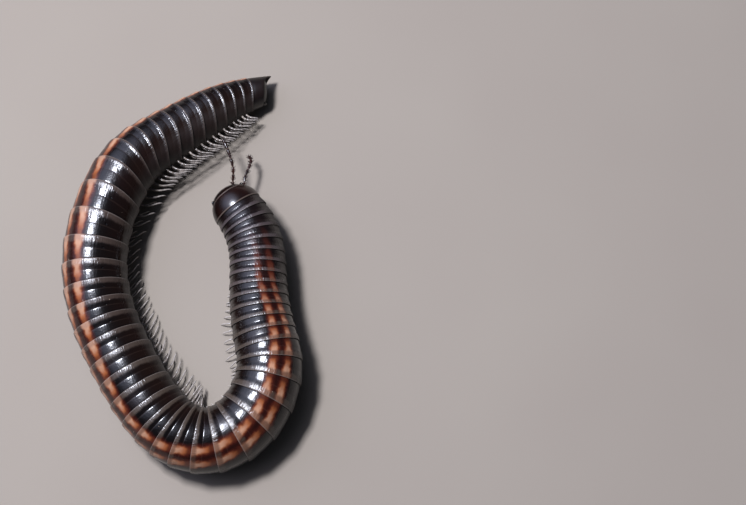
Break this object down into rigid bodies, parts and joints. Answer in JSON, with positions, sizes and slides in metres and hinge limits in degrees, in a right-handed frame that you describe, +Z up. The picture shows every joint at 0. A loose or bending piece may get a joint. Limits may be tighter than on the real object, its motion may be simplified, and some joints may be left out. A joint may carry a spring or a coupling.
{
  "type": "striped millipede",
  "caption": "Still, life-size striped millipede lying in a J: ringed trunk in lengths with legs, head with feelers, collum and pointed tail.",
  "frame": {"origin": "on the floor, under the middle of the model's box", "axes": "+Z up, +Y along the J from its bend to its tail, +X from the tail's limb to the head's limb"},
  "size_m": [0.0128, 0.0221, 0.0039],
  "materials": {
    "ring_shell": "glossy black-brown calcified cuticle with two orange stripes and pale rear bands",
    "collum_shell": "smooth glossy dark red-brown cuticle",
    "head_shell": "smooth glossy brown-black cuticle",
    "tail_shell": "glossy black-brown cuticle, brown at the spur",
    "eye": "black fields of small glossy lenses",
    "feeler": "dark red-brown articles with pale joints and fine bristles"
  },
  "bodies": {
    "root": {"head": "head_shell", "eye_left": "eye", "eye_right": "eye", "mandible_left": "head_shell", "mandible_right": "head_shell", "gnathochilarium": "head_shell", "antenna_left": "feeler", "antenna_right": "feeler", "collum": "collum_shell", "trunk_01": "ring_shell", "trunk_02": "ring_shell", "trunk_03": "ring_shell", "trunk_04": "ring_shell", "trunk_05": "ring_shell", "trunk_06": "ring_shell", "trunk_07": "ring_shell", "trunk_08": "ring_shell", "trunk_09": "ring_shell", "trunk_10": "ring_shell", "trunk_11": "ring_shell", "trunk_12": "ring_shell", "trunk_13": "ring_shell", "preanal_ring": "tail_shell", "anal_valve_left": "tail_shell", "anal_valve_right": "tail_shell", "subanal_scale": "tail_shell"}
  },
  "joints": []
}
